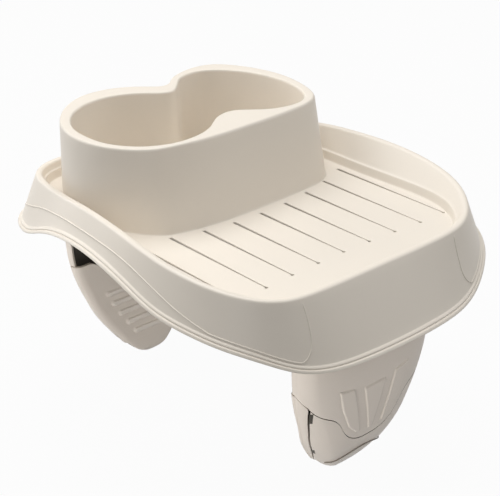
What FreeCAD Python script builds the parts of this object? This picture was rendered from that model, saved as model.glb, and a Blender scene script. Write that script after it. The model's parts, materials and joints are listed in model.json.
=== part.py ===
import FreeCAD, Part
from BOPTools import SplitAPI
import math
import os

# Hot tub tray: a one-piece moulded tray with a two-lobed cup holder, carried on
# two identical claws that hook over the tub wall. Millimetres, +Z up, +X towards
# the open end of the tray, +Y along the cup holder. All shapes are drawn with
# the tray floor at z = 0 and the slots along X, then seated so that the
# bounding box is centred on X and Y and the claw tips stand on z = 0.

V = FreeCAD.Vector
UP = V(0, 0, 1)

# Walls
SKIN = 2.4                # general wall of the tray moulding
LEG_SKIN = 2.6            # wall of the claw mouldings
RIM_WIDTH = 3.4           # flat top of the tray rim

# Tray outline, half of it from the open end to the back: rim (x, y, z), hem (x, y, z)
STATIONS = [
    ((96.0, 0.0, 3.0), (119.0, 0.0, -36.0)),
    ((96.0, 28.0, 3.0), (118.0, 26.0, -36.0)),
    ((95.8, 52.0, 3.5), (114.5, 50.0, -35.5)),
    ((94.2, 67.0, 4.5), (108.5, 69.0, -32.0)),
    ((90.0, 77.5, 6.0), (101.0, 83.5, -25.5)),
    ((83.0, 86.5, 8.0), (92.0, 94.5, -20.0)),
    ((71.0, 95.5, 11.0), (79.0, 103.5, -16.0)),
    ((55.0, 101.5, 14.0), (60.0, 110.0, -12.5)),
    ((36.0, 104.0, 16.5), (39.0, 113.0, -9.0)),
    ((16.0, 103.5, 18.5), (17.0, 113.0, -3.5)),
    ((-4.0, 101.3, 19.5), (-4.0, 111.5, 0.0)),
    ((-24.0, 98.8, 19.5), (-24.0, 109.0, 0.8)),
    ((-44.0, 96.0, 18.5), (-44.0, 106.5, -0.5)),
    ((-64.0, 92.3, 16.0), (-65.0, 103.5, -4.5)),
    ((-84.0, 87.7, 13.2), (-86.0, 99.0, -12.5)),
    ((-102.0, 82.8, 11.0), (-107.0, 94.5, -20.5)),
    ((-116.0, 77.0, 10.0), (-124.5, 87.5, -21.5)),
    ((-124.5, 68.5, 10.0), (-135.0, 76.5, -21.0)),
    ((-128.5, 57.0, 10.0), (-140.0, 62.0, -20.5)),
    ((-129.7, 38.0, 10.0), (-141.5, 40.0, -20.0)),
    ((-130.0, 0.0, 10.0), (-142.0, 0.0, -20.0)),
]
# Distance from the rim edge in to the floor edge, station by station
FLOOR_INSET = [5.0, 5.0, 5.0, 6.0, 8.0, 10.5, 13.0, 15.2, 17.0, 17.2, 15.8,
               13.4, 11.0, 9.2, 7.4, 6.8, 6.6, 6.6, 6.6, 6.6, 6.6]
LEDGE_Z = 5.2             # height of the ledge round the floor
LEDGE_STEP = 1.5          # ledge edge lies this far outside the floor edge

ARCS = 6                  # a closed wall is made of this many faces
LIP_OUT = 3.0             # lower bead of the hem stands out by this
LIP_HEIGHT = 2.8
BEAD_OUT = 1.3            # upper bead of the hem
BEAD_HEIGHT = 2.4
RIM_BREAK = 0.8           # broken edges of the rim
RIM_DEPTH = 4.5           # solid depth of the rim before the skirt turns hollow
SHELF_W = 1.0             # flat top of the ledge

# Cup holder
CUP_RIM_Z = 48.8          # rim of the cup holder over the tray floor
CUP_OUTER_TOP = [
    (-16.4, 0.0), (-16.4, -17.0), (-17.6, -33.0), (-19.8, -47.0), (-23.5, -58.5),
    (-30.5, -67.5), (-40.5, -75.0), (-52.0, -79.6), (-65.0, -81.0), (-78.0, -79.3),
    (-90.5, -74.5), (-101.5, -67.0), (-110.5, -58.0), (-117.5, -47.0), (-121.5, -34.0),
    (-120.0, -17.5), (-113.0, -3.5), (-106.0, 4.6), (-102.4, 10.4), (-103.8, 16.4),
    (-109.0, 22.8), (-113.6, 31.2), (-116.2, 41.0), (-116.5, 51.0), (-113.0, 61.0),
    (-104.5, 68.8), (-93.6, 74.6), (-82.0, 78.4), (-68.0, 80.5), (-52.0, 79.2),
    (-38.5, 75.5), (-27.6, 69.6), (-20.6, 58.0), (-18.0, 40.0), (-16.8, 19.0)]
CUP_DRAFT_FRONT = 11.2    # the wall leans out by this much at the floor, in front
CUP_DRAFT_SIDE = 0.8      # and by this much at the two ends
CUP_DRAFT_ALL = 0.3       # least draft, all round
WELL_TOP = [
    (-41.0, 9.0), (-38.2, -0.5), (-32.4, -8.6), (-27.2, -17.0), (-23.8, -28.0),
    (-23.0, -41.0), (-26.6, -52.8), (-34.0, -63.6), (-45.0, -71.2), (-56.0, -74.2),
    (-68.0, -74.6), (-80.0, -72.4), (-91.0, -66.6), (-100.0, -57.8), (-106.4, -46.0),
    (-108.6, -34.0), (-107.2, -22.0), (-101.8, -9.8), (-94.6, -1.0), (-90.4, 6.2),
    (-92.0, 12.8), (-99.0, 20.4), (-106.0, 28.4), (-108.8, 39.0), (-107.2, 48.2),
    (-101.4, 56.6), (-92.4, 63.6), (-82.0, 69.0), (-69.0, 72.2), (-55.0, 73.0),
    (-42.4, 70.2), (-32.0, 64.8), (-25.4, 56.4), (-24.2, 45.6), (-27.4, 33.6),
    (-34.0, 24.0), (-39.2, 17.2)]
WELL_DRAFT = 1.8          # the well is this much smaller all round at its floor
WELL_FLOOR_Z = 0.0
CUP_BREAK = 1.0           # broken edges of the cup rim
HOLLOW_TOP_Z = 36.0       # the double wall is hollow up to here

# Drain slots in the floor
SLOT_COUNT = 9
SLOT_PITCH = 20.0
SLOT_WIDTH = 1.6
SLOT_START = [0.0, -0.8, -4.0, -9.0, -16.2]    # by distance from the middle slot
SLOT_END = [66.8, 67.2, 68.0, 69.8, 71.8]
SLOT_EYE_R = 1.2          # round eye at the open end of each slot

# Claws, in their own axes: u outwards from CLAW_AXIS_X, v across, z as the tray
CLAW_AXIS_X = -21.0
# z, outer face u, inner face u, half width v, outer and inner corner radius, and how far
# the outer face falls away to its sides
CLAW_SECTIONS = [
    (-2.4, 108.5, 98.5, 50.0, 3.0, 1.8, 3.0),
    (-20.0, 113.2, 100.0, 50.8, 6.0, 3.0, 3.8),
    (-36.0, 116.0, 100.3, 51.2, 8.0, 4.0, 4.6),
    (-50.0, 117.0, 100.1, 51.2, 8.5, 4.5, 5.2),
    (-64.0, 117.0, 99.6, 50.0, 9.0, 5.0, 5.8),
    (-78.0, 116.4, 98.6, 46.8, 9.5, 5.0, 6.4),
    (-92.0, 115.2, 96.6, 41.6, 9.5, 5.0, 6.8),
    (-106.0, 112.8, 92.8, 35.6, 9.5, 5.0, 7.0),
    (-118.0, 108.2, 89.0, 28.0, 8.5, 5.0, 6.0),
    (-130.0, 100.8, 86.0, 18.4, 6.5, 4.0, 3.2),
    (-139.5, 92.5, 85.0, 7.5, 3.4, 2.6, 0.5),
]
TOOL_RUN = 20.0           # cutting tools run this far past a claw
CLAW_TIP_Z = CLAW_SECTIONS[-1][0]
TOOL_IN = min(s[2] for s in CLAW_SECTIONS) - TOOL_RUN
TOOL_OUT = max(s[1] for s in CLAW_SECTIONS) + TOOL_RUN
TOOL_HALF = max(s[3] for s in CLAW_SECTIONS) + TOOL_RUN
TOOL_LOW_Z = CLAW_TIP_Z - TOOL_RUN
PLATE_T = 3.0             # top plate of a claw bracket
EAR_INNER_U = 72.0        # two ears of the plate reach in to here
EAR_OUTER_U = 104.0
EAR_SIDE = 1.5            # land of an ear on each side of its post
OPENING_TOP_Z = -12.0     # opening in the bracket's inner side, over the pad
OPENING_LOW_Z = -80.0
OPENING_HALF_W = 44.0
OPENING_LOW_HALF_W = 41.0
OPENING_OUTER_U = 104.4
# Seam under the bracket as v, z from the middle to past the side; mirrored about v = 0
SEAM = [(0.0, -107.8), (5.0, -107.6), (9.5, -106.4), (13.8, -104.2), (17.8, -100.9), (21.2, -96.6),
        (24.8, -90.4), (28.5, -86.2), (34.0, -82.8), (40.0, -79.0), (43.8, -75.2), (46.6, -70.8),
        (60.0, -66.0)]
# Split between pad and cover as u, z, from the pad's top edge to its lower edge
PAD_EDGE = [(60.0, -50.0), (103.5, -50.0), (103.5, -67.5), (110.0, -75.0),
            (104.6, -96.0), (98.5, -115.0), (91.5, -126.5), (60.0, -129.0)]
PAD_TOP_SIDE_Z = -67.5    # top edge of the pad at the sides and in the middle
PAD_TOP_MID_Z = -76.0
PAD_TOP_V = [-38.0, -30.0, -20.0, -10.0, 0.0, 10.0, 20.0, 30.0, 38.0]
GROOVE_W = 2.2            # groove along the split, on both sides
GROOVE_D = 1.3
WINDOW_H = 6.0            # snap window at each end of the groove
RIB_COUNT = 5
RIB_PITCH = 7.3
RIB_T = 2.2
RIB_RISE = 1.1
RIB_LOW_Z = -120.0
RIB_HALF_W = [14.5, 18.5, 22.8, 26.5, 29.5]    # from the lowest rib up
FIN_RISE = 0.8
# Raised wedge fins on the bracket: corners as v, z
FINS = [
    [(-27.5, -67.0), (-16.5, -69.5), (-8.6, -101.0), (-11.0, -100.5), (-18.0, -94.0), (-24.0, -80.5)],
    [(-8.4, -71.5), (8.4, -71.5), (1.2, -102.0), (-1.2, -102.0)],
    [(16.5, -69.5), (27.5, -67.0), (24.0, -80.5), (18.0, -94.0), (11.0, -100.5), (8.6, -101.0)],
]

# Snap posts under the tray floor, two to each bracket
POST_U = 78.0
POST_V = 30.0
POST_L = 14.0             # along v
EAR_W = POST_L + 2 * EAR_SIDE    # an ear fits between two drain slots
POST_T = 3.2              # along u
POST_DROP = 10.0          # below the floor underside
BARB_OUT = 1.6
BARB_H = 3.0
POST_CLEAR = 0.5          # play of a post in its window


def mirrored(half):
    """Close a half outline of (x, y, ...) points that runs from y = 0 to y = 0."""
    back = [(p[0], -p[1]) + tuple(p[2:]) for p in half[-2:0:-1]]
    return list(half) + back


def shifted(points, distance):
    """Move each point of a closed outline outwards (positive) or inwards in plan."""
    n = len(points)
    area = sum(points[i][0] * points[(i + 1) % n][1] - points[(i + 1) % n][0] * points[i][1]
               for i in range(n))
    turn = 1.0 if area > 0 else -1.0
    moved = []
    for i, p in enumerate(points):
        a, b = points[i - 1], points[(i + 1) % n]
        dx, dy = b[0] - a[0], b[1] - a[1]
        length = math.hypot(dx, dy)
        d = distance[i] if isinstance(distance, (list, tuple)) else distance
        moved.append((p[0] + turn * d * dy / length, p[1] - turn * d * dx / length) + tuple(p[2:]))
    return moved


def at_height(points, z):
    return [(p[0], p[1], z) for p in points]


def closed_edges(points):
    """A smooth closed curve through the points, as ARCS edges one after another."""
    curve = Part.BSplineCurve()
    count = len(points)
    curve.interpolate(Points=[V(*p) for p in points], PeriodicFlag=True,
                      Parameters=[float(i) for i in range(count + 1)])
    ends = [float(count * i // ARCS) for i in range(ARCS + 1)]
    return [Part.Edge(curve, a, b) for a, b in zip(ends, ends[1:])]


def ring(low, high):
    """The wall between two closed outlines of equal length, one face for each arc."""
    return [Part.makeRuledSurface(a, b) for a, b in zip(closed_edges(low), closed_edges(high))]


def flat(outlines):
    """A flat face inside the first outline, open inside the others."""
    return Part.makeFace([Part.Wire(closed_edges(o)) for o in outlines], "Part::FaceMakerBullseye")


def walls(outlines):
    return [face for a, b in zip(outlines, outlines[1:]) for face in ring(a, b)]


def line_at(a, b, z):
    """Point at height z on the line through a and b."""
    k = (z - a[2]) / (b[2] - a[2])
    return (a[0] + (b[0] - a[0]) * k, a[1] + (b[1] - a[1]) * k, z)


def raised(points, dz):
    return [(p[0], p[1], p[2] + dz) for p in points]


RIM = mirrored([s[0] for s in STATIONS])
HEM = mirrored([s[1] for s in STATIONS])
INSET = FLOOR_INSET + FLOOR_INSET[-2:0:-1]
TRAY_FRONT_X = STATIONS[0][1][0]      # the hem's foremost and rearmost points
TRAY_BACK_X = STATIONS[-1][1][0]
SKIRT_HEM = shifted(HEM, -LIP_OUT)


def tray_top_outlines():
    """Outlines from the floor edge over the ledge and the rim down to the hem."""
    room = [i - RIM_WIDTH for i in INSET]
    step = [min(LEDGE_STEP, 0.35 * r) for r in room]
    shelf = [min(LEDGE_STEP + SHELF_W, 0.6 * r) for r in room]
    ledge_z = [min(LEDGE_Z, 0.55 * p[2]) for p in RIM]
    floor = at_height(shifted(RIM, [-i for i in INSET]), 0.0)
    ledge = shifted(RIM, [s - i for s, i in zip(step, INSET)])
    ledge = [(p[0], p[1], z) for p, z in zip(ledge, ledge_z)]
    back = shifted(RIM, [s - i for s, i in zip(shelf, INSET)])
    back = [(p[0], p[1], z + 0.3) for p, z in zip(back, ledge_z)]
    rim_in = raised(shifted(RIM, -RIM_WIDTH), -RIM_BREAK)
    crown_in = shifted(RIM, RIM_BREAK - RIM_WIDTH)
    crown_out = shifted(RIM, -RIM_BREAK)
    rim_out = raised(RIM, -RIM_BREAK)
    skirt_low = [line_at(r, h, h[2] + LIP_HEIGHT + BEAD_HEIGHT) for r, h in zip(RIM, SKIRT_HEM)]
    skirt_lip = [line_at(r, h, h[2] + LIP_HEIGHT) for r, h in zip(RIM, SKIRT_HEM)]
    bead_top = shifted(skirt_low, BEAD_OUT)
    bead_low = shifted(skirt_lip, BEAD_OUT)
    lip_top = shifted(skirt_lip, LIP_OUT)
    hem_in = shifted(SKIRT_HEM, -SKIN)
    return [floor, ledge, back, rim_in, crown_in, crown_out, rim_out,
            skirt_low, bead_top, bead_low, lip_top, HEM, hem_in]


def tray_under_outlines():
    """Outlines inside the skirt, from the hem up behind the rim to the floor underside."""
    room = [i - RIM_WIDTH for i in INSET]
    step = [min(LEDGE_STEP, 0.35 * r) for r in room]
    ledge_z = [min(LEDGE_Z, 0.55 * p[2]) for p in RIM]
    skirt_in = [line_at(r, h, r[2] - RIM_DEPTH) for r, h in zip(RIM, SKIRT_HEM)]
    skirt_in = shifted(skirt_in, -SKIN)
    slope_z = [max(p[2] - RIM_DEPTH - 0.5, z - SKIN + 0.2) for p, z in zip(RIM, ledge_z)]
    under = [min(SKIN, 0.45 * SKIN + 0.15 * r) for r in room]
    slope = [min(max(RIM_WIDTH + 0.2 * r - u, RIM_WIDTH - SKIN), i - s - SKIN - 0.4)
             for r, u, i, s in zip(room, under, INSET, step)]
    slope = shifted(RIM, [-w for w in slope])
    slope = [(p[0], p[1], z) for p, z in zip(slope, slope_z)]
    ledge = shifted(RIM, [s + SKIN - i for s, i in zip(step, INSET)])
    ledge = [(p[0], p[1], z - SKIN) for p, z in zip(ledge, ledge_z)]
    floor = at_height(shifted(RIM, [SKIN - i for i in INSET]), -SKIN)
    return [skirt_in, slope, ledge, floor]


def cup_base():
    """The cup holder's outer wall where it meets the tray floor."""
    base = []
    for x, y in CUP_OUTER_TOP:
        front = max(0.0, min(1.0, (x + 60.0) / 42.0))
        lean = CUP_DRAFT_FRONT * front * front * (3 - 2 * front)
        side = CUP_DRAFT_SIDE * max(-1.0, min(1.0, y / 60.0))
        base.append((x + lean, y + side, 0.0))
    return shifted(base, CUP_DRAFT_ALL)


def cup_wall(z, growth):
    high = at_height(CUP_OUTER_TOP, CUP_RIM_Z)
    return shifted([line_at(a, b, z) for a, b in zip(cup_base(), high)], growth)


def well_wall(z, growth):
    high = at_height(WELL_TOP, CUP_RIM_Z)
    low = shifted(at_height(WELL_TOP, WELL_FLOOR_Z), -WELL_DRAFT)
    return shifted([line_at(a, b, z) for a, b in zip(low, high)], growth)


def slot(index):
    """A narrow drain slot with a round eye at its open end."""
    side = index - SLOT_COUNT // 2
    y = side * SLOT_PITCH
    x0, x1 = SLOT_START[abs(side)], SLOT_END[abs(side)]
    deep = SKIN + 2.0
    body = Part.makeBox(x1 - x0, SLOT_WIDTH, deep, V(x0, y - SLOT_WIDTH / 2, -deep + 1.0))
    eye = Part.makeCylinder(SLOT_EYE_R, deep, V(x1, y, -deep + 1.0))
    return body.fuse(eye)


def claw_outline(z, outer, inner, half, out_radius, in_radius, fall, growth):
    """A rounded section of the claw at height z, its outer face falling away to the sides."""
    a, b, w = inner - growth, outer + growth, half + growth
    r, q = max(out_radius + growth, 0.8), max(in_radius + growth, 0.8)
    top = b
    b = b - fall * ((w - r) / w) ** 4
    kr, kq = r * (1.0 - math.sqrt(0.5)), q * (1.0 - math.sqrt(0.5))
    return Part.Wire([
        Part.Arc(V(b, r - w, z), V(top, 0.0, z), V(b, w - r, z)).toShape(),
        Part.Arc(V(b, w - r, z), V(b - kr, w - kr, z), V(b - r, w, z)).toShape(),
        Part.LineSegment(V(b - r, w, z), V(a + q, w, z)).toShape(),
        Part.Arc(V(a + q, w, z), V(a + kq, w - kq, z), V(a, w - q, z)).toShape(),
        Part.LineSegment(V(a, w - q, z), V(a, q - w, z)).toShape(),
        Part.Arc(V(a, q - w, z), V(a + kq, kq - w, z), V(a + q, -w, z)).toShape(),
        Part.LineSegment(V(a + q, -w, z), V(b - r, -w, z)).toShape(),
        Part.Arc(V(b - r, -w, z), V(b - kr, kr - w, z), V(b, r - w, z)).toShape()])


def claw_block(growth):
    """The whole claw as one solid, grown or shrunk all round."""
    return Part.makeLoft([claw_outline(*s, growth) for s in CLAW_SECTIONS], True, False)


def across(points):
    """A prism through the claw along u, drawn as v, z."""
    outline = [V(0, v, z) for v, z in points]
    face = Part.Face(Part.makePolygon(outline + outline[:1]))
    face.translate(V(TOOL_IN, 0, 0))
    return face.extrude(V(TOOL_OUT - TOOL_IN, 0, 0))


def sideways(points, v0=-TOOL_HALF, v1=TOOL_HALF):
    """A prism through the claw along v, drawn as u, z."""
    outline = [V(u, v0, z) for u, z in points]
    face = Part.Face(Part.makePolygon(outline + outline[:1]))
    return face.extrude(V(0, v1 - v0, 0))


def above_seam():
    """Everything over the seam under the bracket."""
    half = SEAM[::-1]
    points = [V(0, -v, z) for v, z in half] + [V(0, v, z) for v, z in SEAM[1:]]
    curve = Part.BSplineCurve()
    curve.interpolate(points)
    end = SEAM[-1][0]
    top = [V(0, end, SEAM[-1][1]), V(0, end, 20), V(0, -end, 20), V(0, -end, SEAM[-1][1])]
    face = Part.Face(Part.Wire([curve.toShape()] + Part.makePolygon(top).Edges))
    face.translate(V(TOOL_IN, 0, 0))
    return face.extrude(V(TOOL_OUT - TOOL_IN, 0, 0))


def pad_top(v):
    """Height of the pad's top edge, which dips between its two shoulders."""
    k = min(1.0, abs(v) / PAD_TOP_V[-1])
    return PAD_TOP_MID_Z + (PAD_TOP_SIDE_Z - PAD_TOP_MID_Z) * k * k


def pad_zone():
    """The part of the claw that belongs to the grip pad."""
    side = TOOL_HALF
    top = [(-side, PAD_TOP_SIDE_Z)] + [(v, pad_top(v)) for v in PAD_TOP_V] + [(side, PAD_TOP_SIDE_Z)]
    return sideways(PAD_EDGE).common(across(top + [(side, TOOL_LOW_Z), (-side, TOOL_LOW_Z)]))


def split_band(z_top, z_low):
    """A narrow band along the split on both sides of the claw."""
    a, b, c = PAD_EDGE[3], PAD_EDGE[4], PAD_EDGE[5]
    w = GROOVE_W / 2

    def split_u(z):
        p, q = (a, b) if z > b[1] else (b, c)
        return p[0] + (q[0] - p[0]) * (z - p[1]) / (q[1] - p[1])
    steps = [z_top] + ([b[1]] if z_top > b[1] > z_low else []) + [z_low]
    outline = [(split_u(z) - w, z) for z in steps] + [(split_u(z) + w, z) for z in steps[::-1]]
    return sideways(outline)


def build_claw():
    """Bracket, cover and grip pad of one claw, in claw axes."""
    block = claw_block(0.0)
    shell = block.cut(claw_block(-LEG_SKIN))
    zone = pad_zone()
    parted = SplitAPI.slice(shell, [above_seam()], "Split").Solids
    lower, upper = sorted(parted, key=lambda piece: piece.CenterOfMass.z)
    bracket = upper.cut(zone)
    cover = lower.cut(zone)
    pad = shell.common(zone)

    opening = [(-OPENING_HALF_W, OPENING_TOP_Z), (OPENING_HALF_W, OPENING_TOP_Z),
               (OPENING_HALF_W, -40.0), (OPENING_LOW_HALF_W, PAD_TOP_SIDE_Z),
               (30.0, OPENING_LOW_Z), (-30.0, OPENING_LOW_Z),
               (-OPENING_LOW_HALF_W, PAD_TOP_SIDE_Z), (-OPENING_HALF_W, -40.0)]
    inner = [(60.0, 0.0), (OPENING_OUTER_U, 0.0), (OPENING_OUTER_U, OPENING_LOW_Z), (60.0, OPENING_LOW_Z)]
    window = across(opening).common(sideways(inner))
    bracket = bracket.cut(window.cut(pad))
    plate_low = -SKIN - PLATE_T
    plate = block.common(Part.makeBox(60.0, 120.0, PLATE_T, V(70.0, -60.0, plate_low)))
    for v in (-POST_V, POST_V):
        plate = plate.fuse(Part.makeBox(EAR_OUTER_U - EAR_INNER_U, EAR_W, PLATE_T,
                                        V(EAR_INNER_U, v - EAR_W / 2, plate_low)))
        plate = plate.cut(Part.makeBox(POST_T + 2 * POST_CLEAR, POST_L + 2 * POST_CLEAR, 2 * PLATE_T,
                                       V(POST_U - POST_T / 2 - POST_CLEAR, v - POST_L / 2 - POST_CLEAR,
                                         plate_low - PLATE_T / 2)))
    bracket = bracket.fuse(plate)
    skin = claw_block(FIN_RISE).cut(claw_block(-LEG_SKIN / 2))
    for fin in FINS:
        wedge = across(fin).common(sideways([(103.0, 0.0), (TOOL_OUT, 0.0), (TOOL_OUT, TOOL_LOW_Z),
                                             (103.0, TOOL_LOW_Z)]))
        bracket = bracket.fuse(skin.common(wedge))

    rind = block.cut(claw_block(-GROOVE_D))
    top_z, low_z = PAD_EDGE[3][1], PAD_EDGE[5][1]
    groove = rind.common(split_band(top_z - WINDOW_H, low_z + WINDOW_H))
    windows = shell.common(split_band(top_z, top_z - WINDOW_H).fuse(split_band(low_z + WINDOW_H, low_z)))
    cover = cover.cut(groove).cut(windows)
    pad = pad.cut(groove).cut(windows)

    proud = claw_block(RIB_RISE).cut(claw_block(-LEG_SKIN / 2))
    for i in range(RIB_COUNT):
        z = RIB_LOW_Z + i * RIB_PITCH
        w = RIB_HALF_W[i]
        bar = Part.makeBox(24.0, 2 * w, RIB_T, V(80.0, -w, z - RIB_T / 2))
        pad = pad.fuse(proud.common(bar).common(sideways([(60.0, -60.0), (98.0, -60.0), (98.0, TOOL_LOW_Z),
                                                         (60.0, TOOL_LOW_Z)])))
    return bracket, cover, pad


def snap_posts():
    """Barbed posts that hang from the floor and pass through the bracket plates."""
    posts = []
    for v in (-POST_V, POST_V):
        shank = Part.makeBox(POST_T, POST_L, POST_DROP + 0.6, V(POST_U - POST_T / 2, v - POST_L / 2,
                                                               -SKIN - POST_DROP))
        top = -SKIN - PLATE_T
        barb = Part.Face(Part.makePolygon([
            V(POST_U - POST_T / 2, v - POST_L / 2, top), V(POST_U - POST_T / 2 - BARB_OUT, v - POST_L / 2, top),
            V(POST_U - POST_T / 2, v - POST_L / 2, top - BARB_H), V(POST_U - POST_T / 2, v - POST_L / 2, top)]))
        posts.append(shank.fuse(barb.extrude(V(0, POST_L, 0))))
    return posts


def placed(shape, side):
    """Move a claw shape from u, v axes to the front (1) or the rear (-1) of the tray."""
    out = shape.copy()
    if side < 0:
        out.rotate(V(0, 0, 0), UP, 180)
    out.translate(V(CLAW_AXIS_X, 0, 0))
    return out


def build_tray():
    top = tray_top_outlines()
    under = tray_under_outlines()
    rim_z = CUP_RIM_Z
    faces = [flat([top[0], cup_wall(0.0, 0.0)])]
    faces += walls(top + under)
    faces += walls([cup_wall(0.0, 0.0), cup_wall(rim_z - CUP_BREAK, 0.0), cup_wall(rim_z, -CUP_BREAK)])
    faces += [flat([cup_wall(rim_z, -CUP_BREAK), well_wall(rim_z, CUP_BREAK)])]
    faces += walls([well_wall(rim_z, CUP_BREAK), well_wall(rim_z - CUP_BREAK, 0.0),
                    well_wall(WELL_FLOOR_Z, 0.0)])
    faces += [flat([well_wall(WELL_FLOOR_Z, 0.0)])]
    faces += [flat([under[-1], cup_wall(-SKIN, -SKIN)])]
    faces += walls([cup_wall(-SKIN, -SKIN), cup_wall(HOLLOW_TOP_Z, -SKIN)])
    faces += [flat([cup_wall(HOLLOW_TOP_Z, -SKIN), well_wall(HOLLOW_TOP_Z, SKIN)])]
    faces += walls([well_wall(HOLLOW_TOP_Z, SKIN), well_wall(-SKIN, SKIN)])
    faces += [flat([well_wall(-SKIN, SKIN)])]
    shell = Part.makeCompound(faces)
    shell.sewShape(0.001)
    body = Part.makeSolid(shell.Shells[0])
    if body.Volume < 0:
        body.reverse()
    body = body.cut(Part.makeCompound([slot(i) for i in range(SLOT_COUNT)]))
    posts = [placed(p, side) for side in (1, -1) for p in snap_posts()]
    body = body.fuse(posts)
    return body


def build_parts():
    """Every piece by name, standing on z = 0 with the bounding box centred."""
    bracket, cover, pad = build_claw()
    parts = {"tray": build_tray()}
    for name, side in (("front", 1), ("rear", -1)):
        parts[name + "_claw_bracket"] = placed(bracket, side)
        parts[name + "_claw_cover"] = placed(cover, side)
        parts[name + "_grip_pad"] = placed(pad, side)
    parts = {k: single(v) for k, v in parts.items()}
    return parts


def single(shape):
    """The one solid in a shape."""
    solids = shape.Solids
    assert len(solids) == 1, len(solids)
    return solids[0]


def main():
    os.makedirs("parts", exist_ok=True)
    parts = build_parts()
    x_mid = (TRAY_FRONT_X + TRAY_BACK_X) / 2
    for name, shape in parts.items():
        shape.translate(V(-x_mid, 0, -CLAW_TIP_Z))
        shape.exportStep("parts/" + name + ".step")
        print(name, shape.isValid(), round(shape.Volume), shape.BoundBox)


main()
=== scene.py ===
import json
import math

import bmesh
import bpy
import numpy as np
from mathutils import Matrix, Vector
from mathutils.geometry import delaunay_2d_cdt

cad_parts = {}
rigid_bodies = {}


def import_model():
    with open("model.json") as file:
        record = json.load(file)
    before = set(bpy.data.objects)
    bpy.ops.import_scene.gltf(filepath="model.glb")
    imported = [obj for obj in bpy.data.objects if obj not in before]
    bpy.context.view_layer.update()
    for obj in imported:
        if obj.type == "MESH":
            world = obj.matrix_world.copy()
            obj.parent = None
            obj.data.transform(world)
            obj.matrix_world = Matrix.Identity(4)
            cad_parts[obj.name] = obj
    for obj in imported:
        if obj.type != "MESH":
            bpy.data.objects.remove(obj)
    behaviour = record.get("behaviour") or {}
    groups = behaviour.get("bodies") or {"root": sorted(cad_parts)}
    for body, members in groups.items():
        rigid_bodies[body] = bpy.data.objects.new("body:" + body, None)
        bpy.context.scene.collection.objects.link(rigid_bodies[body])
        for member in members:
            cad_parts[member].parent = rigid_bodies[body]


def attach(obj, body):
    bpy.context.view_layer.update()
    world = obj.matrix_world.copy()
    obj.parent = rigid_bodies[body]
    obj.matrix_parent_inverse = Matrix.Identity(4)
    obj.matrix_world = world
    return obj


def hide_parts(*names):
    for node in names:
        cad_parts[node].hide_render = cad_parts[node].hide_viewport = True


for left_over in list(bpy.data.objects):
    bpy.data.objects.remove(left_over, do_unlink=True)
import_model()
bpy.context.view_layer.update()

# Shapes are drawn in millimetres with the tray floor at z = 0 and the drain slots
# along X, then moved by SEAT into the row frame.
SEAT = (11.5, 0.0, 139.5)
MM = 0.001

# Tray outline, half of it from the open end to the back: rim (x, y, z), hem (x, y, z)
STATIONS = [
    ((96.0, 0.0, 3.0), (119.0, 0.0, -36.0)),
    ((96.0, 28.0, 3.0), (118.0, 26.0, -36.0)),
    ((95.8, 52.0, 3.5), (114.5, 50.0, -35.5)),
    ((94.2, 67.0, 4.5), (108.5, 69.0, -32.0)),
    ((90.0, 77.5, 6.0), (101.0, 83.5, -25.5)),
    ((83.0, 86.5, 8.0), (92.0, 94.5, -20.0)),
    ((71.0, 95.5, 11.0), (79.0, 103.5, -16.0)),
    ((55.0, 101.5, 14.0), (60.0, 110.0, -12.5)),
    ((36.0, 104.0, 16.5), (39.0, 113.0, -9.0)),
    ((16.0, 103.5, 18.5), (17.0, 113.0, -3.5)),
    ((-4.0, 101.3, 19.5), (-4.0, 111.5, 0.0)),
    ((-24.0, 98.8, 19.5), (-24.0, 109.0, 0.8)),
    ((-44.0, 96.0, 18.5), (-44.0, 106.5, -0.5)),
    ((-64.0, 92.3, 16.0), (-65.0, 103.5, -4.5)),
    ((-84.0, 87.7, 13.2), (-86.0, 99.0, -12.5)),
    ((-102.0, 82.8, 11.0), (-107.0, 94.5, -20.5)),
    ((-116.0, 77.0, 10.0), (-124.5, 87.5, -21.5)),
    ((-124.5, 68.5, 10.0), (-135.0, 76.5, -21.0)),
    ((-128.5, 57.0, 10.0), (-140.0, 62.0, -20.5)),
    ((-129.7, 38.0, 10.0), (-141.5, 40.0, -20.0)),
    ((-130.0, 0.0, 10.0), (-142.0, 0.0, -20.0)),
]
FLOOR_INSET = [5.0, 5.0, 5.0, 6.0, 8.0, 10.5, 13.0, 15.2, 17.0, 17.2, 15.8,
               13.4, 11.0, 9.2, 7.4, 6.8, 6.6, 6.6, 6.6, 6.6, 6.6]
SKIN = 2.4
RIM_WIDTH = 3.4
LEDGE_Z = 5.2
LEDGE_STEP = 1.5
SHELF_W = 1.2
FLOOR_CUT = 1.2           # rounding between the floor and the ledge
LEDGE_CUT = 0.9
SHELF_CUT = 1.6
RIM_CUT = 1.5
UNDER_CUT = 0.4
UNDER_RIM = 4.5           # the hollow under the rim ends this far below it
LIP_OUT = 1.8
HEM_TOP = 4.4
# Beads of the hem: height above it, distance out from the skirt, rounding
HEM = [(3.7, 0.0, 0.4), (3.2, 0.8, 0.4), (2.4, 1.0, 0.3), (2.0, 0.5, 0.3), (1.7, 1.6, 0.5),
       (0.0, LIP_OUT, 0.7)]
AROUND = 720              # samples round the tray
GUARD = 0.6               # narrow flat band beside a rounded edge
CUT_SHARE = 0.25          # share of a narrow strip that an edge's rounding may take
GUARD_SHARE = 0.1

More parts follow.
